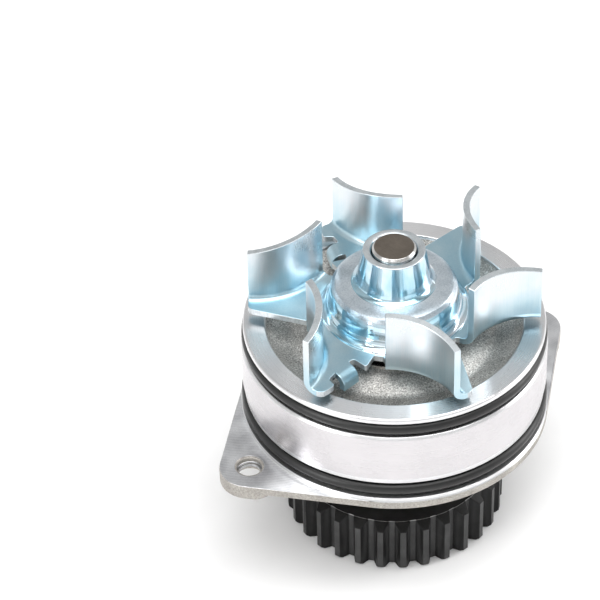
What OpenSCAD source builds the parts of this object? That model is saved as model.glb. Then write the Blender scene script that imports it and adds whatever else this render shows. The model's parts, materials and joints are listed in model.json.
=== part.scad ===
// Insert water pump of a chain-driven engine. Millimetres, +Z up the shaft towards the impeller.
// The origin is on the shaft's axis, in the seating face of the flange.

/* [Housing] */
// Radius of the machined spigot
spigot_r = 46.2; // [45.8:0.1:46.5]
// Height of the spigot's end above the flange face
spigot_h = 31.8; // [31:0.1:33]
// Radius of the cast dish in the spigot's end
dish_r = 38.9; // [38:0.1:40]
// Level of the dish's valley
dish_floor = 27; // [26:0.1:28]
// Outer radius of the bearing neck
neck_r = 20.5; // [19:0.1:22]
// Level of the neck's lower end
neck_end = -20; // [-21:0.1:-18]

/* [Flange] */
// Distance between the two threaded ears' holes
ear_span = 107; // [105:0.5:109]
// Distance of the plain ear's hole from the axis
plain_ear_x = 53.5; // [52:0.5:55]
// Radius of an ear's rounded end
ear_r = 9; // [8:0.1:10]
// Radius of the flange between the ears
flange_r = 47; // [46.9:0.1:48]
// Thickness of the flange between the ears
flange_t = 2.6; // [2:0.1:4]
// Thickness of an ear
ear_t = 5; // [4:0.1:7]
// Radius of the threaded holes at the thread's crests
thread_r = 3.4; // [3.3:0.05:3.5]
// Radius of the plain hole
plain_r = 3.5; // [3.2:0.1:3.6]

/* [O-rings] */
// Thickness of both rings
ring_d = 3.6; // [3:0.1:4]
// Outer radius of the upper ring
ring_upper_r = 46; // [45.8:0.1:46.1]
// Outer radius of the lower ring
ring_lower_r = 46.6; // [46.5:0.1:46.8]

/* [Shaft bearing] */
// Radius of the shaft in the bearing
shaft_r = 7.96; // [7.9:0.01:8]
// Radius of the shaft's impeller end
shaft_end_r = 6.6; // [6.4:0.1:7]
// Level of the shaft's impeller end
shaft_top = 59.2; // [58.5:0.1:60]
// Outer radius of the bearing's outer ring
bearing_r = 15; // [14.5:0.1:15.5]
// Level of the bearing's upper end
bearing_top = 14; // [13:0.1:15]
// Level of the bearing's lower end
bearing_end = -22; // [-23:0.1:-21]
// Diameter of a ball
ball_d = 6.35; // [6:0.05:6.5]
// Number of balls
ball_count = 8; // [6:1:9]
// Diameter of a roller
roller_d = 5; // [4.5:0.1:5.5]
// Length of a roller
roller_l = 10; // [8:0.5:11]
// Number of rollers
roller_count = 10; // [8:1:11]

/* [Shaft seal] */
// Radius of the seal's bore in the housing
seal_r = 18; // [17.5:0.1:18.5]
// Level of the seal face between the carbon ring and the mating ring
seal_face = 36; // [35.5:0.1:36.5]
// Turns of the seal's spring
spring_turns = 4; // [3:1:5]

/* [Impeller] */
// Number of vanes
vane_count = 6; // [6:1:6]
// Radius of the vanes' outer ends
vane_tip_r = 43.8; // [43:0.1:44.5]
// Radius of the arc that each vane is bent to
vane_arc_r = 22.5; // [22:0.1:23]
// Distance of that arc's centre from the axis
vane_arc_x = 49.9; // [49:0.1:50.5]
// Direction of the first vane's arc centre
vane_phase = -8.3; // [-60:0.1:60]
// Thickness of the stamped sheet
sheet_t = 2.1; // [1.8:0.1:2.3]
// Level of the plate's upper face
plate_z = 36; // [35.5:0.1:37]
// Level of the vanes' edge at the outer ends
vane_z = 53.4; // [52:0.1:55]
// Rise of the vanes' edge from the outer ends to the inner ends
vane_rise = 2.7; // [0:0.1:4]

/* [Sprocket] */
// Number of teeth
tooth_count = 30; // [30:1:30]
// Radius of the tooth tips
tooth_tip_r = 33.8; // [33:0.1:34.5]
// Radius of the tooth roots
tooth_root_r = 30.7; // [30:0.1:31]
// Direction of one tooth
tooth_phase = -1.3; // [-6:0.1:6]
// Level of the sprocket's upper face
sprocket_top = -24.1; // [-25:0.1:-23.5]
// Level of the sprocket's lower face
sprocket_end = -41.9; // [-43:0.1:-41]

/* [Hidden] */
$fn = 96;

eps = 0.01;
press = 0.01;          // overlap of two pieces pressed together
ear_x = ear_span / 2;
ears = [[0, ear_x, thread_r], [90, plain_ear_x, plain_r], [180, ear_x, thread_r]]; // angle, distance, hole

// spigot levels, from the seating face up
lower_groove = [1.4, 6.5];
lower_bevel = 8.3;
main_land = [10.9, 24.3];
upper_groove = [25.1, 30];
lip_r = 45.5;
lower_ring_r = 46.8;
groove_squeeze = 0.1;  // how far a ring's inside is stretched over its groove floor

// pocket under the spigot, between the neck and the outer wall
pocket_in = 26;
pocket_out = 37.8;
pocket_top = 20.5;
rib_t = 4;
weep_rib_t = 8;
weep_az = 90;
weep_z = 17.6;
weep_r = 2;

chamber_r = 15.6;      // drain chamber between the bearing and the seal
shoulder_r = 12.8;
neck_blend = 6;        // fillet between the neck and the flange
seal_ledge = 20;
boss_top = 29.5;
boss_r = 23;

ball_ring_r = shaft_r + ball_d / 2 - 0.95;
roller_ring_r = shaft_r + roller_d / 2 + 0.04;
race_gap = 0.05;
ball_z = 6.5;
roller_z = -11;

// arc points: centre, radius, first and last angle, number of steps
function arc(c, r, a0, a1, n) = [for (i = [0:n]) let (a = a0 + (a1 - a0) * i / n) c + r * [cos(a), sin(a)]];

function unit(v) = v / norm(v);
function flat(p) = [p[0], p[1]];

// corner b between the points a and c, turned into an arc where its third value gives a radius
function corner(a, b, c) = b[2] == 0 ? [flat(b)] : let (u = unit(flat(a) - flat(b)),
    v = unit(flat(c) - flat(b)), h = acos(u * v) / 2, m = flat(b) + unit(u + v) * b[2] / sin(h),
    t = flat(b) + u * b[2] / tan(h) - m, a0 = atan2(t[1], t[0]),
    turn = sign(v[0] * u[1] - v[1] * u[0]) * (180 - 2 * h))
    arc(m, b[2], a0, a0 + turn, ceil((180 - 2 * h) / 12));

// outline whose corners [x, y, radius] are rounded
function rounded(p) = [for (i = [0:len(p) - 1])
    each corner(p[(i + len(p) - 1) % len(p)], p[i], p[(i + 1) % len(p)])];

// ring of rectangular section
module ring(r_in, r_out, z0, z1) {
    rotate_extrude() translate([r_in, z0]) square([r_out - r_in, z1 - z0]);
}

// flange outline: a disc with three ears joined to it by their common tangents
module flange_outline() {
    circle(flange_r);
    for (e = ears) {
        t = acos((flange_r - ear_r) / e[1]);
        rotate(e[0]) {
            translate([e[1], 0]) circle(ear_r);
            polygon([[flange_r * cos(t), -flange_r * sin(t)], [e[1] + ear_r * cos(t), -ear_r * sin(t)],
                [e[1] + ear_r * cos(t), ear_r * sin(t)], [flange_r * cos(t), flange_r * sin(t)]]);
        }
    }
}

// thickening of the flange towards each ear, with a sloping shoulder
module ear_pad(e) {
    pad_r = 9.6;
    slope = 1.6;
    rotate([0, 0, e[0]]) translate([e[1], 0, -ear_t])
        cylinder(h = ear_t - flange_t + eps, r1 = pad_r, r2 = pad_r + slope);
}

// hole through an ear; a threaded one has a wide 120 degree chamfer at the seating face
module ear_hole(e) {
    chamfer_t = 0.7;
    chamfer_w = 1;
    rotate([0, 0, e[0]]) translate([e[1], 0, 0]) {
        translate([0, 0, -ear_t - 1]) cylinder(h = ear_t + 2, r = e[2]);
        if (e[2] == thread_r) {
            translate([0, 0, -chamfer_t]) cylinder(h = chamfer_t + eps, r1 = e[2], r2 = e[2] + chamfer_w);
        }
    }
}

// turned spigot with the cast dish in its end and the stepped bore through it
module spigot_solid() {
    upper_floor = ring_upper_r - ring_d + groove_squeeze;
    lower_floor = ring_lower_r - ring_d + groove_squeeze;
    outside = [[lower_ring_r, lower_groove[0]], [lower_floor, lower_groove[0]],
        [lower_floor, lower_groove[1]], [spigot_r - 0.6, lower_groove[1]], [spigot_r - 0.4, lower_bevel],
        [spigot_r, main_land[0]], [spigot_r, main_land[1]], [lip_r, upper_groove[0]],
        [upper_floor, upper_groove[0]], [upper_floor, upper_groove[1]], [lip_r, upper_groove[1]],
        [lip_r, spigot_h - 0.5], [lip_r - 0.5, spigot_h]];
    dish = concat([[dish_r, spigot_h], [dish_r - 0.4, spigot_h - 0.9], [dish_r - 3.2, dish_floor + 1.3]],
        arc([31, dish_floor + 4], 4, 300, 235, 6), [[boss_r + 1.6, boss_top - 0.4], [boss_r, boss_top]]);
    bore = [[seal_r, boss_top], [seal_r, seal_ledge], [chamber_r, seal_ledge],
        [chamber_r, bearing_top + 1.2],
        [shoulder_r, bearing_top + 1.2], [shoulder_r, bearing_top], [bearing_r, bearing_top],
        [bearing_r, neck_end]];
    fillet_c = [neck_r + neck_blend, -flange_t - neck_blend];
    neck = concat([[neck_r - 1, neck_end], [neck_r, neck_end + 1]], arc(fillet_c, neck_blend, 180, 90, 6),
        [[lower_ring_r, -flange_t]]);
    rotate_extrude() polygon(concat(outside, dish, bore, neck));
}

// ring-shaped pocket from below, crossed by six ribs
module underside_pocket() {
    difference() {
        rotate_extrude() polygon([[pocket_in + 0.4, -6], [pocket_out, -6], [pocket_out, pocket_top - 3],
            [pocket_out - 3, pocket_top], [pocket_in + 2, pocket_top], [pocket_in, pocket_top - 2]]);
        for (i = [0:5]) {
            t = i == 0 ? weep_rib_t : rib_t;
            rotate([0, 0, weep_az + 60 * i]) translate([pocket_in - 1, -t / 2, -flange_t])
                cube([pocket_out - pocket_in + 2, t, pocket_top + flange_t + 1]);
        }
    }
}

module pump_body() {
    color("silver") difference() {
        union() {
            translate([0, 0, -flange_t]) linear_extrude(flange_t) flange_outline();
            intersection() {
                translate([0, 0, -ear_t]) linear_extrude(ear_t) flange_outline();
                for (e = ears) ear_pad(e);
            }
            spigot_solid();
        }
        translate([0, 0, -flange_t - eps]) cylinder(h = flange_t + 1, r = bearing_r);
        underside_pocket();
        for (e = ears) ear_hole(e);
        rotate([0, 0, weep_az]) translate([chamber_r - 1, 0, weep_z]) rotate([0, 90, 0])
            cylinder(h = spigot_r, r = weep_r);
    }
}

module o_ring(r_out, groove) {
    color([0.07, 0.07, 0.07]) translate([0, 0, (groove[0] + groove[1]) / 2])
        rotate_extrude() translate([r_out - ring_d / 2, 0]) circle(d = ring_d);
}

module o_ring_upper() {
    o_ring(ring_upper_r, upper_groove);
}

module o_ring_lower() {
    o_ring(ring_lower_r, lower_groove);
}

// groove in which the balls run, with the gap round them
module ball_track() {
    translate([0, 0, ball_z]) rotate_extrude() translate([ball_ring_r, 0]) circle(d = ball_d + 2 * race_gap);
}

// outer ring with a ball groove and a roller track; its ends are relieved for the seals
module bearing_outer_ring() {
    land_r = 12.1;
    seat_r = 12.9;
    seat_l = 3.4;
    track_r = roller_ring_r + roller_d / 2 + race_gap;
    color([0.75, 0.75, 0.78]) difference() {
        ring(land_r, bearing_r + press, bearing_end, bearing_top);
        ball_track();
        translate([0, 0, roller_z - roller_l / 2 - 0.2]) cylinder(h = roller_l + 0.4, r = track_r);
        translate([0, 0, bearing_top - seat_l]) cylinder(h = seat_l + 1, r = seat_r);
        translate([0, 0, bearing_end - 1]) cylinder(h = seat_l + 1, r = seat_r);
    }
}

// shaft: sprocket seat, both inner tracks, seal seat and the thinner impeller end
module pump_shaft() {
    end_chamfer = 0.65;
    step_z = 43.6;
    sprocket_seat = sprocket_end + 1;
    color([0.55, 0.52, 0.5]) difference() {
        rotate_extrude() polygon([[0, sprocket_seat], [shaft_r - 0.8, sprocket_seat],
            [shaft_r, sprocket_seat + 0.8], [shaft_r, step_z - 0.6], [shaft_r - 0.6, step_z],
            [shaft_end_r, step_z], [shaft_end_r, shaft_top - end_chamfer],
            [shaft_end_r - end_chamfer, shaft_top], [0, shaft_top]]);
        ball_track();
    }
}

module bearing_balls() {
    color([0.85, 0.85, 0.87]) for (i = [0:ball_count - 1])
        rotate([0, 0, 360 * i / ball_count]) translate([ball_ring_r, 0, ball_z]) sphere(d = ball_d);
}

// crown cage: a ring under the balls with a pocket round each one
module ball_cage() {
    wall = 1.3;
    color([0.2, 0.2, 0.2]) difference() {
        ring(ball_ring_r - wall / 2, ball_ring_r + wall / 2, ball_z - 4.6, ball_z + 1.2);
        for (i = [0:ball_count - 1])
            rotate([0, 0, 360 * i / ball_count]) translate([ball_ring_r, 0, ball_z])
                sphere(d = ball_d + 0.2);
    }
}

module bearing_rollers() {
    color([0.85, 0.85, 0.87]) for (i = [0:roller_count - 1])
        rotate([0, 0, 360 * i / roller_count]) translate([roller_ring_r, 0, roller_z - roller_l / 2])
            cylinder(h = roller_l, d = roller_d);
}

module roller_cage() {
    wall = 1.3;
    rim = 1.4;
    half = roller_l / 2;
    color([0.2, 0.2, 0.2]) difference() {
        translate([0, 0, roller_z])
            ring(roller_ring_r - wall / 2, roller_ring_r + wall / 2, -half - rim, half + rim);
        for (i = [0:roller_count - 1])
            rotate([0, 0, 360 * i / roller_count]) translate([roller_ring_r, 0, roller_z - half - 0.1])
                cylinder(h = roller_l + 0.2, d = roller_d + 0.2);
    }
}

// bearing seal: a disc pressed in the outer ring with a lip that runs just clear of the shaft
module bearing_seal(z, up) {
    disc_r = 12.9;
    lip_r0 = shaft_r + 0.08;
    color([0.15, 0.1, 0.08]) translate([0, 0, z]) mirror([0, 0, up ? 0 : 1])
        rotate_extrude() polygon([[lip_r0, 0.2], [lip_r0 + 0.9, 0.9], [disc_r - 0.8, 0.9], [disc_r - 0.8, 0],
            [disc_r + press, 0], [disc_r + press, 2.4], [lip_r0 + 0.9, 2.4], [lip_r0, 1.4]]);
}

module bearing_seal_upper() {
    bearing_seal(bearing_top - 2.9, true);
}

module bearing_seal_lower() {
    bearing_seal(bearing_end + 2.9, false);
}

// stationary cup of the shaft seal, with a flange on the housing's boss
module seal_cup() {
    t = 0.8;
    color([0.8, 0.78, 0.7]) rotate_extrude() polygon([[10.4, seal_ledge], [seal_r + press, seal_ledge],
        [seal_r + press, boss_top], [21, boss_top], [21, boss_top + t], [seal_r - t, boss_top + t],
        [seal_r - t, seal_ledge + t], [10.4, seal_ledge + t]]);
}

// rubber bellows between the cup and the carbon ring
module seal_bellows() {
    z0 = seal_ledge + 0.8;
    color([0.1, 0.1, 0.1]) rotate_extrude() polygon([[10, z0], [13.8, z0], [13.8, z0 + 1.2], [11.6, z0 + 2],
        [11.6, z0 + 4], [13.2, z0 + 5.2], [13.2, z0 + 6], [11.6, z0 + 7.2], [11.6, seal_face - 4.6],
        [10, seal_face - 4.6], [10, z0 + 7.8], [11.6 - 0.4, z0 + 5.6], [10, z0 + 3.6]]);
}

// coil spring swept as a ring of eight-sided sections, closed at both ends
module seal_spring() {
    wire_r = 0.7;
    coil_r = 15.2;
    z0 = seal_ledge + 0.8 + wire_r;
    rise = seal_face - 5.4 - wire_r - z0;
    steps = 20 * spring_turns;
    sides = 8;
    points = [for (i = [0:steps]) let (a = 360 * spring_turns * i / steps, z = z0 + rise * i / steps)
        for (j = [0:sides - 1]) let (b = 360 * j / sides, r = coil_r + wire_r * cos(b))
            [r * cos(a), r * sin(a), z + wire_r * sin(b)]];
    walls = [for (i = [0:steps - 1]) for (j = [0:sides - 1]) let (k = (j + 1) % sides)
        [i * sides + j, i * sides + k, (i + 1) * sides + k, (i + 1) * sides + j]];
    first = [for (j = [0:sides - 1]) sides - 1 - j];
    last = [for (j = [0:sides - 1]) steps * sides + j];
    color([0.7, 0.7, 0.72]) polyhedron(points, concat(walls, [first, last]), convexity = 10);
}

module seal_spring_washer() {
    color([0.8, 0.78, 0.7]) ring(11.7, 16.6, seal_face - 5.4, seal_face - 4.6);
}

// carbon ring with a narrow raised seal face
module seal_carbon_ring() {
    color([0.12, 0.12, 0.13]) rotate_extrude() polygon([[10, seal_face - 4.6], [15.4, seal_face - 4.6],
        [15.4, seal_face - 1.6], [13.2, seal_face - 1.6], [13.2, seal_face], [11.4, seal_face],
        [11.4, seal_face - 1], [10, seal_face - 1]]);
}

module seal_mating_ring() {
    color([0.35, 0.35, 0.37]) ring(9.9, 14.4, seal_face + race_gap, seal_face + 3.8);
}

// rubber boot that carries the mating ring in the sleeve's flange
module mating_ring_boot() {
    z0 = seal_face + 1;
    z1 = seal_face + 3.8;
    color([0.08, 0.08, 0.08]) rotate_extrude() polygon([[8.7, z1], [9.9, z1], [14.4, z1], [14.4, z0],
        [15.6, z0], [15.6, z1 + 1.2], [8.7, z1 + 1.2]]);
}

// sleeve pressed on the shaft, with the flange that drives the mating ring
module seal_sleeve() {
    z1 = seal_face + 5;
    color([0.8, 0.78, 0.7]) rotate_extrude() polygon([[shaft_r - press, 22], [8.7, 22], [8.7, z1],
        [15.9, z1], [15.9, z1 + 0.8], [shaft_r - press, z1 + 0.8]]);
}

// drawn hub of the impeller and its collar, as one sheet turned about the axis
module hub_shell() {
    collar_top = shaft_top - 1;
    outside = [[22.9, plate_z], [22.3, plate_z + 0.1], [22, plate_z + 0.5], [21.2, plate_z + 0.8],
        [20.5, plate_z + 1.5], [20.2, plate_z + 2.6], [19.7, plate_z + 3.2], [19.7, plate_z + 3.6],
        [19.3, plate_z + 6.9], [18.7, plate_z + 8.6], [17.7, plate_z + 9.8], [16, plate_z + 10.4],
        [12.9, plate_z + 10.4], [12.2, plate_z + 10.7], [11.3, plate_z + 11.4], [11.05, plate_z + 12],
        [10.6, plate_z + 15.3], [9.3, collar_top - 0.15], [9.1, collar_top]];
    inside = [[7.9, collar_top], [7.3, collar_top - 0.2], [6.9, collar_top - 0.6],
        [shaft_end_r - press, collar_top - 1.5], [shaft_end_r - press, plate_z + 8.9], [7.6, plate_z + 8.1],
        [15.6, plate_z + 8.1], [16.7, plate_z + 7.3], [17.1, plate_z + 5.6], [17.4, plate_z + 2.4],
        [17.9, plate_z + 0.3], [19, plate_z - 1.2], [20.6, plate_z - sheet_t], [22.9, plate_z - sheet_t]];
    rotate_extrude() polygon(concat(outside, inside));
}

vane_a0 = 118.8;       // outer end of the vane, seen from its arc's centre
vane_a1 = 183.8;       // inner end
fold_in = 1.9;         // inside radius of the fold between vane and plate
arc_c = [vane_arc_x, 0];
fold_r = vane_arc_r + sheet_t / 2 + fold_in;

// one vane with its fold, turned about the centre of its arc
module vane() {
    wall_in = vane_arc_r - sheet_t / 2;
    wall_out = vane_arc_r + sheet_t / 2;
    fold_c = [fold_r, plate_z + fold_in];
    inner = arc(fold_c, fold_in, 180, 270, 8);
    outer = arc(fold_c, fold_in + sheet_t, 270, 180, 10);
    span = vane_a1 - vane_a0 + 2.8;
    translate([vane_arc_x, 0, 0]) rotate([0, 0, vane_a0 - 1.3]) rotate_extrude(angle = span)
        polygon(concat([[wall_out, vane_z + 5]], inner, [[fold_r + 0.6, plate_z]],
            [[fold_r + 0.6, plate_z - sheet_t]], outer, [[wall_in, vane_z + 5]]));
}

// outline of the plate's arm beside one vane, before its free edge is trimmed
module arm_outline() {
    polygon(concat([[0, 0], [18, -3]], arc(arc_c, fold_r + 0.3, vane_a1 + 2, vane_a0 - 1.3, 12),
        [[38.9, 25.8], [14.3, 20.5]]));
}

tab_w = 6;
tab_fold = 1.3;          // inside radius of a tab's fold
tab_dir = 198.5;         // direction of the fold line
tab_at = [28.9, 18.7];   // outer end of the fold line

// corner of the plate from its place along and across the tab's fold line, and its radius
function tab_corner(x, y, r) = concat(tab_at + x * [cos(tab_dir), sin(tab_dir)]
    + y * [-sin(tab_dir), cos(tab_dir)], r);

// corners of the free edge, each with its radius: plain, and with the slot round a tab
edge_plain = [[18.8, 19.6, 1.5]];
edge_slotted = [[31.5, 23, 0.9], tab_corner(-3.1, -0.1, 1.3), tab_corner(0.15, 0.45, 0),
    tab_corner(0.15, 0, 0), tab_corner(tab_w - 0.15, 0, 0), tab_corner(tab_w - 0.15, 0.95, 0),
    tab_corner(tab_w + 2.1, 0.95, 1.1), [19.75, 20.1, 0.7]];

// what is trimmed away between one vane's outer end and the next vane's inner end
module edge_trim(slotted) {
    start = arc_c + (vane_arc_r - 2) * [cos(vane_a0), sin(vane_a0)];
    translate([0, 0, plate_z - 8]) linear_extrude(40) polygon(rounded(concat([[46, 18, 0], concat(start, 0),
        [36.5, 24.4, 2.4]], slotted ? edge_slotted : edge_plain, [[15.6, 16.9, 1.4], [13.4, 16.95, 1.4],
        [13.45, 19.83, 0], [15.9, 24.8, 0], [20, 30, 0], [46, 30, 0]])));
}

// tab bent down from the fold line behind the arm
module tab() {
    bend_c = [0, plate_z - sheet_t - tab_fold];
    profile = concat([[-1, plate_z - sheet_t], [-1, plate_z]], arc(bend_c, tab_fold + sheet_t, 90, 0, 9),
        [[tab_fold + sheet_t, plate_z - 5], [tab_fold, plate_z - 5]], arc(bend_c, tab_fold, 0, 90, 9));
    translate([tab_at[0], tab_at[1], 0]) rotate([0, 0, tab_dir]) rotate([90, 0, 90])
        mirror([1, 0, 0]) linear_extrude(tab_w) polygon(profile);
}

module impeller() {
    rim_z = vane_z + vane_rise * (vane_tip_r - 10) / (vane_tip_r - 27.3);
    color([0.7, 0.82, 0.88]) union() {
        hub_shell();
        difference() {
            union() {
                translate([0, 0, plate_z - sheet_t]) linear_extrude(sheet_t) difference() {
                    union() {
                        circle(23.6);
                        for (i = [0:vane_count - 1]) rotate(vane_phase + 60 * i) arm_outline();
                    }
                    circle(22.5);
                }
                intersection() {
                    for (i = [0:vane_count - 1]) rotate([0, 0, vane_phase + 60 * i]) vane();
                    rotate_extrude() polygon([[10, plate_z - 5], [vane_tip_r + 0.1, plate_z - 5],
                        [vane_tip_r + 0.1, vane_z], [10, rim_z]]);
                }
            }
            for (i = [0:vane_count - 1]) rotate([0, 0, vane_phase + 60 * i]) edge_trim(i % 2 == 1);
        }
        for (i = [1:2:vane_count - 1]) rotate([0, 0, vane_phase + 60 * i]) tab();
    }
}

// teeth with flat tips and flat roots, for an inverted-tooth chain
module tooth_outline() {
    tip = 0.92;
    root = 2.35;
    for (i = [0:tooth_count - 1]) rotate(tooth_phase + 360 * i / tooth_count)
        polygon([[tooth_root_r - 1, -root - 0.3], [tooth_root_r, -root], [tooth_tip_r, -tip],
            [tooth_tip_r, tip], [tooth_root_r, root], [tooth_root_r - 1, root + 0.3]]);
}

module drive_sprocket() {
    web_end = -30;
    hub_r = 14;
    rim_in = 26;
    color([0.12, 0.12, 0.12]) difference() {
        intersection() {
            translate([0, 0, sprocket_end]) linear_extrude(sprocket_top - sprocket_end) union() {
                circle(tooth_root_r);
                tooth_outline();
            }
            rotate_extrude() polygon([[0, sprocket_end], [tooth_tip_r - 1, sprocket_end],
                [tooth_tip_r + 1, sprocket_end + 1.6], [tooth_tip_r + 1, sprocket_top - 2.6],
                [tooth_root_r, sprocket_top], [0, sprocket_top]]);
        }
        translate([0, 0, sprocket_end - 1]) rotate_extrude() translate([hub_r, 0])
            square([rim_in - hub_r, web_end - sprocket_end + 1]);
        translate([0, 0, sprocket_end - 1]) cylinder(h = 30, r = shaft_r - press);
    }
}

pump_body();
o_ring_upper();
o_ring_lower();
bearing_outer_ring();
pump_shaft();
bearing_balls();
ball_cage();
bearing_rollers();
roller_cage();
bearing_seal_upper();
bearing_seal_lower();
seal_cup();
seal_bellows();
seal_spring();
seal_spring_washer();
seal_carbon_ring();
seal_mating_ring();
mating_ring_boot();
seal_sleeve();
impeller();
drive_sprocket();
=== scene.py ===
import json
import math

import bmesh
import bpy
from mathutils import Matrix, Vector


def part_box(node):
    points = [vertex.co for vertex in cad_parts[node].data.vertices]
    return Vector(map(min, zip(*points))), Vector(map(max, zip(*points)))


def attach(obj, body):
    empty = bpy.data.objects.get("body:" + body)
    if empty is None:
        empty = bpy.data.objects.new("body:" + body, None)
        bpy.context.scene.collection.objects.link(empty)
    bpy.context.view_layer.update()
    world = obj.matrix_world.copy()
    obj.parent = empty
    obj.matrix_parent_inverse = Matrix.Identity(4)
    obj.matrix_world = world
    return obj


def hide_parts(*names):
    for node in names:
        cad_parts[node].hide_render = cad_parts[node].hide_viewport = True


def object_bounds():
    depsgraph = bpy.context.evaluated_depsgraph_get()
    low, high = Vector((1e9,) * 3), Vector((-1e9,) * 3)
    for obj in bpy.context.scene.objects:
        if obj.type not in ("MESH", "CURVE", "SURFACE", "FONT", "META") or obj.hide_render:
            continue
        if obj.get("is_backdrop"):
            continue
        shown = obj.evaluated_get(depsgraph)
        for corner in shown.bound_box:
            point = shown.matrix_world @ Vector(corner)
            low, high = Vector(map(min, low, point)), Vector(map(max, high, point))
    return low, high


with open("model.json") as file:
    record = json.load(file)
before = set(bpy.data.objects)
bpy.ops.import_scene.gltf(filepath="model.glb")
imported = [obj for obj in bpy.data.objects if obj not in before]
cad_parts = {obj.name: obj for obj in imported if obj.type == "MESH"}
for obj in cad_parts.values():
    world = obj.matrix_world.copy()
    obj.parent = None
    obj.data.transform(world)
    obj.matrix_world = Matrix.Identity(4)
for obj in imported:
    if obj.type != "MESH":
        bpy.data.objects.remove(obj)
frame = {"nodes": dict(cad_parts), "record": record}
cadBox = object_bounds()
nodes = frame["nodes"]
mounts = {mount["name"]: mount for mount in frame["record"]["mounts"]}
mm = 0.001
print("frame loaded,", len(nodes), "nodes")


def linear(hexColour):  # sRGB hex to the linear values that shaders take
    parts = [int(hexColour[i:i + 2], 16) / 255 for i in (1, 3, 5)]
    return [p / 12.92 if p <= 0.04045 else ((p + 0.055) / 1.055) ** 2.4 for p in parts] + [1.0]


def addNode(tree, kind, settings=None, inputs=None):
    node = tree.nodes.new(kind)
    for name, value in (settings or {}).items():
        if name == "stops":  # a colour ramp's places and colours
            ramp = node.color_ramp
            while len(ramp.elements) < len(value):
                ramp.elements.new(0.5)
            for element, (place, colour) in zip(ramp.elements, value):
                element.position = place
                element.color = linear(colour) if isinstance(colour, str) else [colour] * 3 + [1.0]
        else:
            setattr(node, name, value)
    for name, value in (inputs or {}).items():
        if isinstance(value, bpy.types.NodeSocket):
            tree.links.new(value, node.inputs[name])
        else:
            node.inputs[name].default_value = value
    return node


def newMaterial(name, sockets):
    material = bpy.data.materials.new(name)
    material.use_nodes = True
    tree = material.node_tree
    tree.nodes.clear()
    shader = addNode(tree, "ShaderNodeBsdfPrincipled", None, sockets)
    addNode(tree, "ShaderNodeOutputMaterial", None, {"Surface": shader.outputs["BSDF"]})
    place = addNode(tree, "ShaderNodeTexCoord").outputs["Object"]
    return material, tree, shader, place


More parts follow.
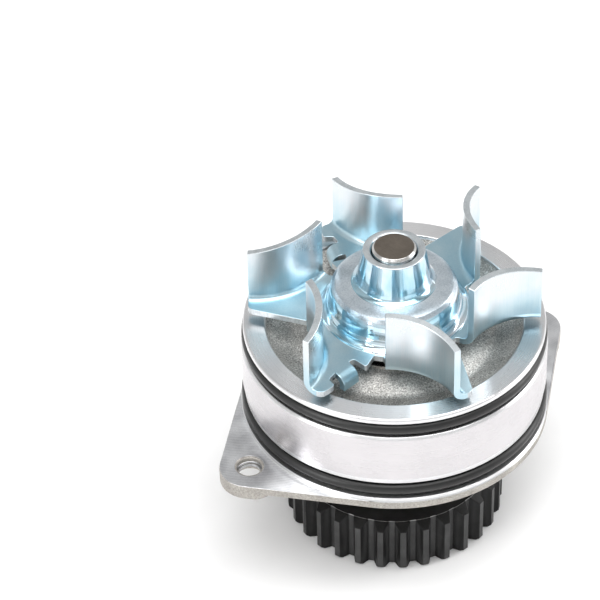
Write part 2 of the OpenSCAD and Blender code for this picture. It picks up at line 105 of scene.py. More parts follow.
# what the finishes share: a wandering mottle, a fine grain and optional tool marks; sizes in millimetres
def surfaceFinish(name, look, sockets):
    material, tree, shader, place = newMaterial(name, sockets)
    mottle = addNode(tree, "ShaderNodeTexNoise", None, {
        "Vector": place, "Scale": 1 / (look["mottleSize"] * mm), "Detail": 3.0, "Roughness": 0.55})
    grain = addNode(tree, "ShaderNodeTexNoise", None, {
        "Vector": place, "Scale": 1 / (look["grainSize"] * mm), "Detail": 3.0, "Roughness": 0.65})
    broad = mottle.outputs["Fac"]
    if "fade" in look:  # the finish drifts through its colours between two heights
        rise = addNode(tree, "ShaderNodeSeparateXYZ", None, {"Vector": place})
        drift = addNode(tree, "ShaderNodeMapRange", None,
                        {"Value": rise.outputs["Z"], "From Min": look["fade"][0] * mm,
                         "From Max": look["fade"][1] * mm, "To Min": 0.3, "To Max": 0.64})
        mixed = addNode(tree, "ShaderNodeMix", {"data_type": "FLOAT"},
                        {0: look["fade"][2], 2: broad, 3: drift.outputs["Result"]})
        broad = mixed.outputs[0]
    marks = grain.outputs["Fac"]
    if "brush" in look:  # lines along one direction: their length along x, y and z against their width
        spread = addNode(tree, "ShaderNodeMapping", {"vector_type": "TEXTURE"},
                         {"Vector": place, "Scale": look["brush"]})
        lines = addNode(tree, "ShaderNodeTexNoise", None, {
            "Vector": spread.outputs["Vector"], "Scale": 1 / (look["brushWidth"] * mm), "Detail": 2.0})
        marks = lines.outputs["Fac"]
    if "ringWidth" in look:  # rings round the shaft's axis, left by the lathe
        parts = addNode(tree, "ShaderNodeSeparateXYZ", None, {"Vector": place})
        flat = addNode(tree, "ShaderNodeCombineXYZ", None, {"X": parts.outputs["X"], "Y": parts.outputs["Y"]})
        radius = addNode(tree, "ShaderNodeVectorMath", {"operation": "LENGTH"}, {0: flat.outputs["Vector"]})
        along = addNode(tree, "ShaderNodeMath", {"operation": "ADD"},
                        {0: radius.outputs["Value"], 1: parts.outputs["Z"]})
        line = addNode(tree, "ShaderNodeCombineXYZ", None, {"X": along.outputs["Value"]})
        rings = addNode(tree, "ShaderNodeTexNoise", None, {
            "Vector": line.outputs["Vector"], "Scale": 1 / (look["ringWidth"] * mm), "Detail": 2.0})
        marks = rings.outputs["Fac"]
        across = addNode(tree, "ShaderNodeVectorMath", {"operation": "NORMALIZE"},
                         {0: flat.outputs["Vector"]})
        # highlights are drawn out across the rings
        pull = addNode(tree, "ShaderNodeVectorMath", {"operation": "ADD"},
                       {0: across.outputs["Vector"], 1: (0.0, 0.0, 1.0)})
        tree.links.new(pull.outputs["Vector"], shader.inputs["Tangent"])
    if "cutterRadius" in look:  # arcs of a big face cutter that crossed the part
        reach = look["cutterRadius"] * mm
        centre = addNode(tree, "ShaderNodeMapping", {"vector_type": "POINT"},
                         {"Vector": place, "Location": (reach, 0.6 * reach, 0)})
        arcs = addNode(tree, "ShaderNodeTexWave", {"wave_type": "RINGS", "rings_direction": "Z"},
                       {"Vector": centre.outputs["Vector"], "Scale": 0.314 / (look["cutterStep"] * mm),
                        "Distortion": 1.5, "Detail": 2.0, "Detail Scale": 2.0})
        marks = arcs.outputs["Fac"]
    blend = addNode(tree, "ShaderNodeMix", {"data_type": "FLOAT"},
                    {0: look["markShare"], 2: broad, 3: marks})
    blend = addNode(tree, "ShaderNodeMix", {"data_type": "FLOAT"},
                    {0: look["grainShare"], 2: blend.outputs[0], 3: grain.outputs["Fac"]})
    last = len(look["colours"]) - 1
    colour = addNode(tree, "ShaderNodeValToRGB",
                     {"stops": [(0.34 + 0.32 * i / last, c) for i, c in enumerate(look["colours"])]},
                     {"Fac": blend.outputs[0]})
    tree.links.new(colour.outputs["Color"], shader.inputs["Base Color"])
    rough = addNode(tree, "ShaderNodeMapRange", None,
                    {"Value": blend.outputs[0], "From Min": 0.3, "From Max": 0.7,
                     "To Min": look["roughness"][1], "To Max": look["roughness"][0]})
    tree.links.new(rough.outputs["Result"], shader.inputs["Roughness"])
    pits = addNode(tree, "ShaderNodeBump", None,
                   {"Height": grain.outputs["Fac"], "Distance": look["grainDepth"] * mm})
    normal = pits.outputs["Normal"]
    if marks != grain.outputs["Fac"]:
        scores = addNode(tree, "ShaderNodeBump", None,
                         {"Height": marks, "Distance": look["markDepth"] * mm, "Normal": normal})
        normal = scores.outputs["Normal"]
    tree.links.new(normal, shader.inputs["Normal"])
    return material


# blue passivated zinc on drawn steel: a cool satin metal with faint draw lines; its tint wanders over
# centimetres and pales from the plate up the vanes
zincPlate = surfaceFinish("blueZincPlate", {
    "colours": ["#97bfd0", "#bfd5dd", "#d9dfe3", "#dadfdf"], "roughness": (0.25, 0.33), "mottleSize": 22,
    "grainSize": 0.5, "grainShare": 0.05, "grainDepth": 0.001, "fade": (34, 54, 0.6),
    "brush": (1.0, 1.0, 30.0), "brushWidth": 0.35, "markShare": 0.08, "markDepth": 0.001}, {"Metallic": 1.0})

# the same plating where the draw die has burnished it: the collar and the hub's wall mirror the room
zincDrawn = surfaceFinish("zincOnDrawnWall", {
    "colours": ["#8fc1d6", "#b7d6e2", "#dbe6ee", "#e6ecf0"], "roughness": (0.07, 0.13), "mottleSize": 18,
    "grainSize": 0.5, "grainShare": 0.04, "grainDepth": 0.0005,
    "brush": (1.0, 1.0, 40.0), "brushWidth": 0.5, "markShare": 0.06, "markDepth": 0.0005}, {"Metallic": 1.0})

# the same plating over an edge that was sheared: greyer, torn along the cut
zincCutEdge = surfaceFinish("zincOnShearedEdge", {
    "colours": ["#aab0b3", "#c9cfd2", "#dde2e4"], "roughness": (0.34, 0.46), "mottleSize": 3,
    "grainSize": 0.3, "grainShare": 0.3, "grainDepth": 0.006,
    "brush": (1.0, 1.0, 8.0), "brushWidth": 0.25, "markShare": 0.4, "markDepth": 0.01}, {"Metallic": 1.0})

# plating over the stretched crown of the drawn hub, where the steel's grain comes up like orange peel
zincOrangePeel = surfaceFinish("zincOnStretchedSteel", {
    "colours": ["#a3b0b7", "#c3ced6", "#dfe8ee"], "roughness": (0.26, 0.36), "mottleSize": 7,
    "grainSize": 0.5, "grainShare": 0.5, "grainDepth": 0.035, "markShare": 0.0}, {"Metallic": 1.0})

# the skin of an aluminium casting, shot blasted: warm grey grains, their brightest flecks a painted sparkle
# of the peened grains
castAluminium = surfaceFinish("castAluminium", {
    "colours": ["#6f6d6a", "#b9b7b3", "#f8f6f2"], "roughness": (0.42, 0.55), "mottleSize": 11,
    "grainSize": 0.45, "grainShare": 0.74, "grainDepth": 0.12, "markShare": 0.0}, {"Metallic": 0.75})

# the same casting skin on the flange's rim and underside: blasted less, so duller and greyer
castRim = surfaceFinish("castAluminiumRim", {
    "colours": ["#8a8681", "#a8a49e", "#c6c2bc"], "roughness": (0.5, 0.62), "mottleSize": 9,
    "grainSize": 0.5, "grainShare": 0.6, "grainDepth": 0.05, "markShare": 0.0}, {"Metallic": 0.6})

# aluminium as it leaves the lathe: bright, with rings that draw its highlights out along the radius
turnedAluminium = surfaceFinish("turnedAluminium", {
    "colours": ["#d2d2d3", "#e2e2e3", "#f0f0f1"], "roughness": (0.24, 0.34), "mottleSize": 9,
    "grainSize": 0.6, "grainShare": 0.1, "grainDepth": 0.002,
    "ringWidth": 0.22, "markShare": 0.55, "markDepth": 0.004}, {"Metallic": 1.0, "Anisotropic": 0.75})

# the spigot's sealing land, roller burnished after turning: pale and nearly a mirror
burnishedAluminium = surfaceFinish("burnishedAluminium", {
    "colours": ["#c9c6c8", "#cfccce", "#d5d2d4"], "roughness": (0.24, 0.3), "mottleSize": 12,
    "grainSize": 0.6, "grainShare": 0.05, "grainDepth": 0.001,
    "ringWidth": 0.3, "markShare": 0.5, "markDepth": 0.0008}, {"Metallic": 1.0, "Anisotropic": 0.5})

# the flange's seating face, cut with a big face cutter: grey with crossing arcs
milledAluminium = surfaceFinish("milledAluminium", {
    "colours": ["#b0b1b4", "#d0d1d3", "#eaebed"], "roughness": (0.26, 0.38), "mottleSize": 9,
    "grainSize": 0.4, "grainShare": 0.2, "grainDepth": 0.004,
    "cutterRadius": 90, "cutterStep": 0.7, "markShare": 0.14, "markDepth": 0.004}, {"Metallic": 1.0})

# nitrile rubber, moulded and oiled: black, with a soft wide highlight
nitrileRubber = surfaceFinish("nitrileRubber", {
    "colours": ["#0a0a0a", "#121212", "#1b1b1b"], "roughness": (0.3, 0.42), "mottleSize": 5,
    "grainSize": 0.35, "grainShare": 0.3, "grainDepth": 0.004, "markShare": 0.0}, {"Specular IOR Level": 0.5})

# sintered steel after a black oxide bath: satin black, slightly porous
blackOxide = surfaceFinish("blackOxideSinteredSteel", {
    "colours": ["#0c0c0c", "#141414", "#1e1e1e"], "roughness": (0.4, 0.52), "mottleSize": 6,
    "grainSize": 0.3, "grainShare": 0.4, "grainDepth": 0.008, "markShare": 0.0},
    {"Metallic": 0.2, "Specular IOR Level": 0.3})

# the same oxide where the chain and tumbling have polished it: charcoal
polishedOxide = surfaceFinish("polishedOxideLand", {
    "colours": ["#2a2a2a", "#363636", "#444444"], "roughness": (0.34, 0.44), "mottleSize": 6,
    "grainSize": 0.3, "grainShare": 0.4, "grainDepth": 0.006, "markShare": 0.0},
    {"Metallic": 0.4, "Specular IOR Level": 0.5})

# edges where tumbling has rubbed the oxide thin, lightened into a painted highlight; it paints the bright
# line along the sprocket's chamfer
rubbedOxideAndHighlight = surfaceFinish("rubbedEdgeHighlight", {
    "colours": ["#6a6a6a", "#969696", "#c4c4c4"], "roughness": (0.3, 0.4), "mottleSize": 4,
    "grainSize": 0.4, "grainShare": 0.4, "grainDepth": 0.003, "markShare": 0.0}, {"Metallic": 0.8})

# through-hardened bearing steel, ground across the end and browned by tempering
temperedSteel = surfaceFinish("temperedShaftEnd", {
    "colours": ["#5f5850", "#70685f", "#80776d"], "roughness": (0.32, 0.42), "mottleSize": 6,
    "grainSize": 0.3, "grainShare": 0.3, "grainDepth": 0.002,
    "brush": (1.0, 12.0, 1.0), "brushWidth": 0.2, "markShare": 0.4, "markDepth": 0.001}, {"Metallic": 0.85})

# bearing steel, centreless ground: bright and smooth with fine rings
groundSteel = surfaceFinish("groundBearingSteel", {
    "colours": ["#b4b3b1", "#c8c7c5", "#dad9d7"], "roughness": (0.16, 0.24), "mottleSize": 5,
    "grainSize": 0.3, "grainShare": 0.1, "grainDepth": 0.001,
    "ringWidth": 0.12, "markShare": 0.5, "markDepth": 0.001}, {"Metallic": 1.0, "Anisotropic": 0.4})

# chrome steel rolling elements, lapped: a mirror with the faintest haze
lappedSteel = surfaceFinish("lappedChromeSteel", {
    "colours": ["#d3d4d6", "#dcdddf", "#e4e5e7"], "roughness": (0.06, 0.1), "mottleSize": 4,
    "grainSize": 0.2, "grainShare": 0.2, "grainDepth": 0.0004, "markShare": 0.0}, {"Metallic": 1.0})

# glass-filled polyamide, injection moulded: brown, dull, with the fibres showing as flecks
cagePolyamide = surfaceFinish("glassFilledPolyamide", {
    "colours": ["#3f352a", "#564838", "#6e5d49"], "roughness": (0.48, 0.6), "mottleSize": 4,
    "grainSize": 0.25, "grainShare": 0.5, "grainDepth": 0.006,
    "brush": (1.0, 1.0, 6.0), "brushWidth": 0.2, "markShare": 0.3, "markDepth": 0.004},
    {"Specular IOR Level": 0.5})

# stainless sheet, deep drawn: grey and satin, drawn lines up its walls
drawnStainless = surfaceFinish("drawnStainless", {
    "colours": ["#a8a5a0", "#bdbab5", "#cfccc8"], "roughness": (0.2, 0.32), "mottleSize": 5,
    "grainSize": 0.3, "grainShare": 0.15, "grainDepth": 0.002,
    "brush": (1.0, 1.0, 20.0), "brushWidth": 0.2, "markShare": 0.45, "markDepth": 0.002}, {"Metallic": 1.0})

# carbon graphite, lapped flat: near black with a grey sheen and open pores
carbonGraphite = surfaceFinish("lappedCarbonGraphite", {
    "colours": ["#141415", "#202022", "#2f2f31"], "roughness": (0.3, 0.42), "mottleSize": 3,
    "grainSize": 0.2, "grainShare": 0.6, "grainDepth": 0.008, "markShare": 0.0}, {"Specular IOR Level": 0.6})

# silicon carbide, sintered and lapped: charcoal grains, the lighter ones in part a painted glint of its
# crystals
siliconCarbide = surfaceFinish("lappedSiliconCarbide", {
    "colours": ["#2b2c2f", "#3c3d41", "#5a5c61"], "roughness": (0.16, 0.26), "mottleSize": 4,
    "grainSize": 0.18, "grainShare": 0.6, "grainDepth": 0.002, "markShare": 0.0}, {"Specular IOR Level": 0.8})

# the finishes of the pieces that stay as the CAD made them
keptNodes = {
    "o_ring_upper": nitrileRubber, "o_ring_lower": nitrileRubber, "bearing_outer_ring": groundSteel,
    "ball_cage": cagePolyamide, "roller_cage": cagePolyamide, "bearing_seal_upper": nitrileRubber,
    "bearing_seal_lower": nitrileRubber, "seal_cup": drawnStainless, "seal_bellows": nitrileRubber,
    "seal_spring_washer": drawnStainless, "seal_carbon_ring": carbonGraphite,
    "seal_mating_ring": siliconCarbide, "mating_ring_boot": nitrileRubber, "seal_sleeve": drawnStainless}
for name, material in keptNodes.items():
    nodes[name].data.materials.clear()
    nodes[name].data.materials.append(material)
print("materials on", len(keptNodes), "kept nodes")


def evaluatedCopy(carrier, name):  # the carrier's result as a plain mesh on its own object; the carrier goes
    bpy.context.scene.collection.objects.link(carrier)
    mesh = bpy.data.meshes.new_from_object(carrier.evaluated_get(bpy.context.evaluated_depsgraph_get()))
    mesh.name = name
    bpy.data.objects.remove(carrier)
    piece = bpy.data.objects.new(name, mesh)
    bpy.context.scene.collection.objects.link(piece)
    return piece


sharpAngle = 28  # degrees between two faces from which the edge between them is rounded


# a plain copy of a CAD node, its flat faces merged and its sharp edges rounded by width millimetres;
# reshape(shell) changes it first, and the edges that kept(edge) names stay as they are
def softened(node, name, width, materials, chooser, reshape=None, kept=None):
    shell = bmesh.new()
    shell.from_mesh(nodes[node].data)
    bmesh.ops.remove_doubles(shell, verts=shell.verts, dist=0.003 * mm)
    if reshape:
        reshape(shell)
    for across in (Vector((1, 0, 0)), Vector((0, 1, 0))):  # seams, so that no merged face surrounds a hole
        bmesh.ops.bisect_plane(shell, geom=shell.verts[:] + shell.edges[:] + shell.faces[:],
                               dist=0.001 * mm, plane_co=(0, 0, 0), plane_no=across)
        for edge in shell.edges:
            if all(abs(vert.co.dot(across)) < 0.002 * mm for vert in edge.verts):
                edge.seam = True
    bmesh.ops.dissolve_limit(shell, angle_limit=math.radians(0.6), verts=shell.verts, edges=shell.edges,
                             delimit={"SEAM"})
    weight = shell.edges.layers.float.new("bevel_weight_edge")
    for edge in shell.edges:
        sharp = edge.calc_face_angle(0) > math.radians(sharpAngle)
        edge[weight] = 1.0 if sharp and not (kept and kept(edge)) else 0.0
    for face in shell.faces:
        radius = sum(math.hypot(v.co.x, v.co.y) for v in face.verts) / len(face.verts) / mm
        middle = sum((v.co for v in face.verts), Vector()) / len(face.verts) / mm
        face.material_index = chooser(radius, middle, face.normal)
        face.smooth = True
    mesh = bpy.data.meshes.new(name + "Rough")
    shell.to_mesh(mesh)
    shell.free()
    if "custom_normal" in mesh.attributes:
        mesh.attributes.remove(mesh.attributes["custom_normal"])
    for material in materials:
        mesh.materials.append(material)
    carrier = bpy.data.objects.new(name + "Rough", mesh)
    bevel = carrier.modifiers.new("roundedEdges", "BEVEL")
    bevel.width = width * mm
    bevel.segments = 2
    bevel.limit_method = "WEIGHT"
    bevel.use_clamp_overlap = False
    bevel.harden_normals = True
    return evaluatedCopy(carrier, name)


# millimetres: the rounding, and the heights and radii where the impeller's finish changes
stamping = {"rounding": 0.22, "collarTop": 57.9, "hubRadius": 22.4, "crownHeights": (44.3, 47),
            "crownRadii": (13, 19.2), "vaneTops": 49, "plateHeights": (33.95, 35.95)}


def within(value, limits):
    return limits[0] < value < limits[1]


def impellerSlot(radius, middle, normal):  # 0 plate, 1 sheared edge, 2 orange peel, 3 drawn wall
    if middle.z > stamping["collarTop"] and abs(normal.z) > 0.7:
        return 1
    if radius < stamping["hubRadius"]:
        crown = within(middle.z, stamping["crownHeights"]) and within(radius, stamping["crownRadii"])
        return 2 if crown else 3
    topEdge = middle.z > stamping["vaneTops"] and normal.z > 0.5
    plateEdge = within(middle.z, stamping["plateHeights"]) and abs(normal.z) < 0.3
    return 1 if topEdge or plateEdge else 0


impeller = softened("impeller", "stampedImpeller", stamping["rounding"], [
    zincPlate, zincCutEdge, zincOrangePeel, zincDrawn], impellerSlot)
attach(impeller, "rotor")
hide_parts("impeller")
print("impeller made,", len(impeller.data.polygons), "faces")

# millimetres; the chamfer at each mouth keeps mouthShare of its depth when the hole is opened
threads = {"crestRadius": mounts["ear_threads"]["dims"]["hole_r_mm"], "rootRadius": 4.0, "pitch": 1.25,
           "top": -0.75, "bottom": -4.95, "spacing": mounts["ear_threads"]["dims"]["spacing_x_mm"],
           "mouthShare": 0.4, "ridgeRadius": 4.02, "ridgeSize": 0.62, "endGap": 0.9}


def openThreads(shell):  # the two drilled ear holes out to the root of their M8 threads
    for vert in shell.verts:
        side = math.copysign(threads["spacing"] / 2, vert.co.x) * mm
        reach = math.hypot(vert.co.x - side, vert.co.y) / mm
        if reach < threads["crestRadius"] + 0.06:
            grow = threads["rootRadius"] / reach
            vert.co.x = side + (vert.co.x - side) * grow
            vert.co.y *= grow
            if vert.co.z > -2 * mm:
                vert.co.z *= threads["mouthShare"]


# millimetres: the rounding, and the heights and radii where the casting's finish changes
casting = {"rounding": 0.3, "dishFloor": 20, "dishRadius": 38.6, "spigotTop": 31,
           "upperGroove": (24.2, 31), "upperRadius": 42, "land": (8.2, 24.3), "landRadius": 44,
           "lowerGroove": (0.4, 8.3), "lowerRadius": 41, "seatGap": 0.5, "earHole": (-5.1, 0),
           "earHoleRadius": 3, "neckRadius": 22, "footRadii": (45, 48.6)}


def housingSlot(radius, middle, normal):  # 0 cast, 1 turned, 2 burnished, 3 milled, 4 cast rim
    height = middle.z
    if radius < casting["dishRadius"] and height > casting["dishFloor"]:
        return 0
    if height > casting["spigotTop"]:
        return 1
    if within(height, casting["upperGroove"]) and radius > casting["upperRadius"]:
        return 1
    if within(height, casting["land"]) and radius > casting["landRadius"]:
        return 2
    if within(height, casting["lowerGroove"]) and radius > casting["lowerRadius"]:
        return 1
    if abs(height) < casting["seatGap"] and normal.z > 0.9:
        return 3
    fromHole = math.hypot(abs(middle.x) - threads["spacing"] / 2, middle.y)
    if within(height, casting["earHole"]) and fromHole < casting["earHoleRadius"]:
        return 3
    if height < casting["dishFloor"] and radius < casting["neckRadius"] and abs(normal.z) < 0.3:
        return 1
    return 4


def runsOut(edge):  # where the flange's outline and the spigot's foot meet at a sliver, too thin to round
    return all(abs(vert.co.z) < 0.02 * mm
               and within(math.hypot(vert.co.x, vert.co.y) / mm, casting["footRadii"])
               for vert in edge.verts)


housing = softened("pump_body", "pumpHousing", casting["rounding"], [
    castAluminium, turnedAluminium, burnishedAluminium, milledAluminium, castRim],
    housingSlot, openThreads, runsOut)
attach(housing, "housing")
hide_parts("pump_body")
print("housing made,", len(housing.data.polygons), "faces")


# millimetres: the rounding, the teeth's tips, and the bright line round the upper face, a highlight painted
# on its chamfer
wheel = {"rounding": 0.16, "tips": 29, "lineRadii": (30.4, 30.95), "lineFrom": -24.35}
spindle = {"rounding": 0.15, "endFrom": 59}


def sprocketSlot(radius, middle, normal):  # 0 flanks and recess, 1 lands that the chain and tumbling polish
    outward = normal.x * middle.x + normal.y * middle.y
    return 1 if radius > wheel["tips"] and abs(normal.z) < 0.3 and outward > 0.9 * radius else 0


def shaftSlot(radius, middle, normal):  # 0 the end face at the impeller, 1 ground all over
    return 0 if normal.z > 0.9 and middle.z > spindle["endFrom"] else 1


sprocket = softened("drive_sprocket", "chainSprocket", wheel["rounding"], [
    blackOxide, polishedOxide, rubbedOxideAndHighlight], sprocketSlot)
# painted highlight: the chamfer faces round the upper face take the lighter oxide as a thin bright line
for face in sprocket.data.polygons:  # the thin bright line
    reach = math.hypot(face.center.x, face.center.y) / mm
    sloping = 0.3 < face.normal.z < 0.97
    if within(reach, wheel["lineRadii"]) and face.center.z > wheel["lineFrom"] * mm and sloping:
        face.material_index = 2
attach(sprocket, "rotor")
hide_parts("drive_sprocket")

shaft = softened("pump_shaft", "bearingShaft", spindle["rounding"], [temperedSteel, groundSteel], shaftSlot)
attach(shaft, "rotor")
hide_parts("pump_shaft")
print("sprocket and shaft made")


# a new geometry tree with named inputs, and its input and output nodes
def newGrowth(name, sizes):
    tree = bpy.data.node_groups.new(name, "GeometryNodeTree")
    tree.interface.new_socket("Seed geometry", in_out="INPUT", socket_type="NodeSocketGeometry")
    for label, value in sizes.items():
        kind = "NodeSocketInt" if isinstance(value, int) else "NodeSocketFloat"
        tree.interface.new_socket(label, in_out="INPUT", socket_type=kind)
    tree.interface.new_socket("Material", in_out="INPUT", socket_type="NodeSocketMaterial")
    tree.interface.new_socket("Geometry", in_out="OUTPUT", socket_type="NodeSocketGeometry")
    return tree, addNode(tree, "NodeGroupInput"), addNode(tree, "NodeGroupOutput")


# runs a tree on a seed mesh with its sizes set, and leaves the result as a plain piece
def grownPiece(tree, name, seed, sizes, material):
    carrier = bpy.data.objects.new(name + "Seed", seed)
    growth = carrier.modifiers.new("growth", "NODES")
    growth.node_group = tree
    for item in tree.interface.items_tree:
        if item.in_out == "INPUT" and item.name in sizes:
            growth[item.identifier] = sizes[item.name]
        if item.in_out == "INPUT" and item.name == "Material":
            growth[item.identifier] = material
    return evaluatedCopy(carrier, name)


def pointSeed(name, points):  # loose vertices, in metres
    mesh = bpy.data.meshes.new(name)
    mesh.from_pydata(points, [], [])
    return mesh


# a wire or ridge wound into a helix, one on every seed point
helixSizes = {"Helix radius": 1.0, "Rise": 1.0, "Turns": 1.0, "Section radius": 1.0, "Section sides": 12}
helixTree, helixIn, helixOut = newGrowth("woundHelix", helixSizes)
spiral = addNode(helixTree, "GeometryNodeCurveSpiral", None, {
    "Resolution": 40, "Rotations": helixIn.outputs["Turns"], "Start Radius": helixIn.outputs["Helix radius"],
    "End Radius": helixIn.outputs["Helix radius"], "Height": helixIn.outputs["Rise"]})
upright = addNode(helixTree, "GeometryNodeSetCurveNormal", {"mode": "Z_UP"},
                  {"Curve": spiral.outputs["Curve"]})
section = addNode(helixTree, "GeometryNodeCurvePrimitiveCircle", None, {
    "Resolution": helixIn.outputs["Section sides"], "Radius": helixIn.outputs["Section radius"]})
swept = addNode(helixTree, "GeometryNodeCurveToMesh", None, {
    "Curve": upright.outputs["Curve"], "Profile Curve": section.outputs["Curve"], "Fill Caps": True})
placed = addNode(helixTree, "GeometryNodeInstanceOnPoints", None, {
    "Points": helixIn.outputs["Seed geometry"], "Instance": swept.outputs["Mesh"]})
whole = addNode(helixTree, "GeometryNodeRealizeInstances", None, {"Geometry": placed.outputs["Instances"]})
painted = addNode(helixTree, "GeometryNodeSetMaterial", None, {
    "Geometry": whole.outputs["Geometry"], "Material": helixIn.outputs["Material"]})
helixTree.links.new(painted.outputs["Geometry"], helixOut.inputs["Geometry"])

threadLength = threads["top"] - threads["bottom"] - threads["endGap"]
threadHelix = {"Helix radius": threads["ridgeRadius"] * mm, "Rise": threadLength * mm,
               "Turns": threadLength / threads["pitch"],
               "Section radius": threads["ridgeSize"] * mm, "Section sides": 3}
threadSeed = pointSeed("earHoles", [(x * threads["spacing"] / 2 * mm, 0, (threads["bottom"] + 0.5) * mm)
                                    for x in (-1, 1)])
threadRidges = grownPiece(helixTree, "earThreadRidges", threadSeed, threadHelix, milledAluminium)
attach(threadRidges, "housing")

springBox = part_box("seal_spring")
spring = {"wire": 0.7, "turns": 4.0}  # the wire's radius in millimetres
springHelix = {"Helix radius": springBox[1].x - spring["wire"] * mm,
               "Rise": springBox[1].z - springBox[0].z - 2 * spring["wire"] * mm, "Turns": spring["turns"],
               "Section radius": spring["wire"] * mm, "Section sides": 12}
springSeed = pointSeed("springFoot", [(0, 0, springBox[0].z + spring["wire"] * mm)])
sealSpring = grownPiece(helixTree, "sealSpringWire", springSeed, springHelix, drawnStainless)
sealSpring.data.polygons.foreach_set("use_smooth", [True] * len(sealSpring.data.polygons))
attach(sealSpring, "housing")
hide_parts("seal_spring")
print("threads and seal spring wound")

# one rolling element repeated round the shaft
ringSizes = {"Count": 8, "Ring radius": 1.0, "Height": 1.0}
ringTree, ringIn, ringOut = newGrowth("ringOfElements", ringSizes)
stations = addNode(ringTree, "GeometryNodeMeshCircle", None, {
    "Vertices": ringIn.outputs["Count"], "Radius": ringIn.outputs["Ring radius"]})
copies = addNode(ringTree, "GeometryNodeInstanceOnPoints", None, {
    "Points": stations.outputs["Mesh"], "Instance": ringIn.outputs["Seed geometry"]})
lift = addNode(ringTree, "ShaderNodeCombineXYZ", None, {"Z": ringIn.outputs["Height"]})
raised = addNode(ringTree, "GeometryNodeTranslateInstances", None, {
    "Instances": copies.outputs["Instances"], "Translation": lift.outputs["Vector"]})
joined = addNode(ringTree, "GeometryNodeRealizeInstances", None, {"Geometry": raised.outputs["Instances"]})
finished = addNode(ringTree, "GeometryNodeSetMaterial", None, {
    "Geometry": joined.outputs["Geometry"], "Material": ringIn.outputs["Material"]})
ringTree.links.new(finished.outputs["Geometry"], ringOut.inputs["Geometry"])

# the bearing's rolling elements, sizes in millimetres
rolling = {"ballDiameter": 6.35, "balls": 8, "rollerDiameter": 5.0, "rollerLength": 10.0, "rollers": 10,
           "rollerChamfer": 0.35}


def rollingSeed(kind):  # one ball, or one roller with rounded ends, at the origin
    shell = bmesh.new()
    radius = rolling[kind + "Diameter"] / 2 * mm
    if kind == "ball":
        bmesh.ops.create_uvsphere(shell, u_segments=32, v_segments=20, radius=radius)
    else:
        bmesh.ops.create_cone(shell, cap_ends=True, segments=40, radius1=radius, radius2=radius,
                              depth=rolling["rollerLength"] * mm)
        rims = [e for e in shell.edges if abs(e.verts[0].co.z - e.verts[1].co.z) < 0.1 * mm]
        bmesh.ops.bevel(shell, geom=rims, offset=rolling["rollerChamfer"] * mm, segments=3, affect="EDGES",
                        profile=0.5)
    for face in shell.faces:
        face.smooth = True
    mesh = bpy.data.meshes.new(kind + "Seed")
    shell.to_mesh(mesh)
    shell.free()
    return mesh


for kind, node, body in (("ball", "bearing_balls", "ball_set"), ("roller", "bearing_rollers", "roller_set")):
    low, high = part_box(node)
    row = grownPiece(ringTree, kind + "Row", rollingSeed(kind), {
        "Count": rolling[kind + "s"], "Ring radius": high.x - rolling[kind + "Diameter"] / 2 * mm,
        "Height": (low.z + high.z) / 2}, lappedSteel)
    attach(row, body)
    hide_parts(node)
print("balls and rollers made")

# angles in degrees, distances in metres, the lens in millimetres, and the object's place in picture widths
view = {"azimuth": -36, "elevation": 42.15, "distance": 0.9, "lens": 177.55,
        "aimHeight": 0.0118, "rightOfCentre": 0.157, "belowCentre": 0.1102}


def placeCamera():
    data = bpy.data.cameras.new("camera")
    data.lens = view["lens"]
    camera = bpy.data.objects.new("camera", data)
    bpy.context.scene.collection.objects.link(camera)
    bpy.context.scene.camera = camera
    a, e = math.radians(view["azimuth"]), math.radians(view["elevation"])
    back = Vector((math.sin(a) * math.cos(e), -math.cos(a) * math.cos(e), math.sin(e)))
    right = Vector((math.cos(a), math.sin(a), 0))
    axes = Matrix((right, back.cross(right), back)).transposed()
    span = data.sensor_width / data.lens
    aim = Vector((view["rightOfCentre"] * span, -view["belowCentre"] * span, -1))
    turn = Vector((0, 0, -1)).rotation_difference(aim).to_matrix()
    camera.matrix_world = (Matrix.Translation(Vector((0, 0, view["aimHeight"])) + back * view["distance"])
                           @ (axes @ turn.transposed()).to_4x4())
    data.clip_start, data.clip_end = 0.01, 20


placeCamera()

# the floor's colours, its half width in metres and its gap under the object in millimetres
studio = {"floorColours": ["#f3f3f3", "#f7f7f7"], "floorSize": 6.0, "floorGap": 0.2}


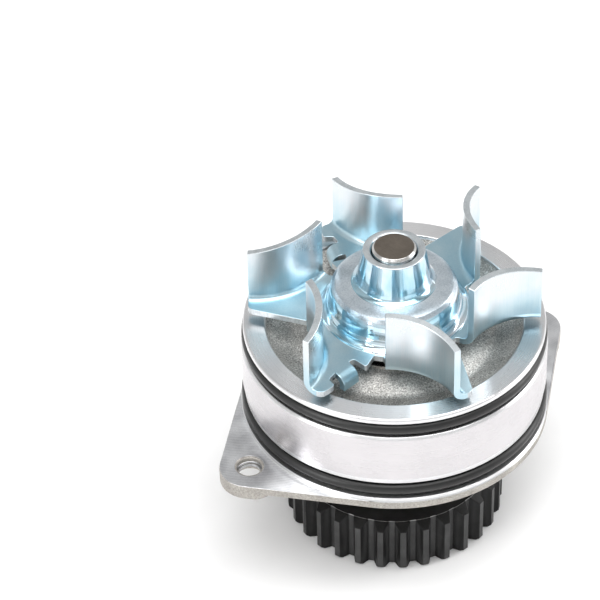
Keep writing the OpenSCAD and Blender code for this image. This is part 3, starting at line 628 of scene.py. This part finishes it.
def placeFloor():
    size = studio["floorSize"]
    z = cadBox[0].z - studio["floorGap"] * mm
    corners = [(x * size, y * size, z) for x, y in ((-1, -1), (1, -1), (1, 1), (-1, 1))]
    mesh = bpy.data.meshes.new("floor")
    mesh.from_pydata(corners, [], [(0, 1, 2, 3)])
    material, tree, shader, place = newMaterial("paintedFloor", {"Roughness": 0.8, "Specular IOR Level": 0.3})
    shade = addNode(tree, "ShaderNodeTexNoise", None, {"Vector": place, "Scale": 40.0})
    colour = addNode(tree, "ShaderNodeValToRGB", {"stops": list(zip((0.3, 0.7), studio["floorColours"]))},
                     {"Fac": shade.outputs["Fac"]})
    tree.links.new(colour.outputs["Color"], shader.inputs["Base Color"])
    mesh.materials.append(material)
    floor = bpy.data.objects.new("floor", mesh)
    bpy.context.scene.collection.objects.link(floor)
    floor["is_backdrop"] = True


placeFloor()

# soft boxes: where each hangs, its width and height in metres, and its power in watts
lamps = {"overhead": ((-0.05, -0.25, 1.1), (1.1, 0.9), 9.0),
         "leftBox": ((-1.1, -0.1, 0.55), (0.5, 0.9), 6.0),
         "rightBox": ((1.0, -0.45, 0.5), (0.5, 0.9), 6.0)}


def placeLamps():
    for name, (at, size, power) in lamps.items():
        data = bpy.data.lights.new(name, "AREA")
        data.shape = "RECTANGLE"
        data.size, data.size_y = size
        data.energy = power
        light = bpy.data.objects.new(name, data)
        bpy.context.scene.collection.objects.link(light)
        light.location = at
        light.rotation_euler = (-Vector(at)).to_track_quat("-Z", "Y").to_euler()


placeLamps()

# brightness of the studio's walls by height, from the floor line up to overhead
walls = [(0.0, 1.0), (0.25, 0.95), (0.4, 0.55), (0.6, 0.6), (0.72, 0.72), (0.82, 0.3), (0.9, 0.9), (1.0, 1.0)]


def lightStudio():
    world = bpy.data.worlds.new("studio")
    world.use_nodes = True
    tree = world.node_tree
    tree.nodes.clear()
    way = addNode(tree, "ShaderNodeTexCoord").outputs["Generated"]
    parts = addNode(tree, "ShaderNodeSeparateXYZ", None, {"Vector": way})
    shade = addNode(tree, "ShaderNodeValToRGB", {"stops": walls}, {"Fac": parts.outputs["Z"]})
    glow = addNode(tree, "ShaderNodeBackground", None, {"Color": shade.outputs["Color"], "Strength": 1.0})
    addNode(tree, "ShaderNodeOutputWorld", None, {"Surface": glow.outputs["Background"]})
    bpy.context.scene.world = world


lightStudio()
bpy.context.scene.view_settings.view_transform = "Standard"
print("camera and studio placed")

low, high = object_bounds()
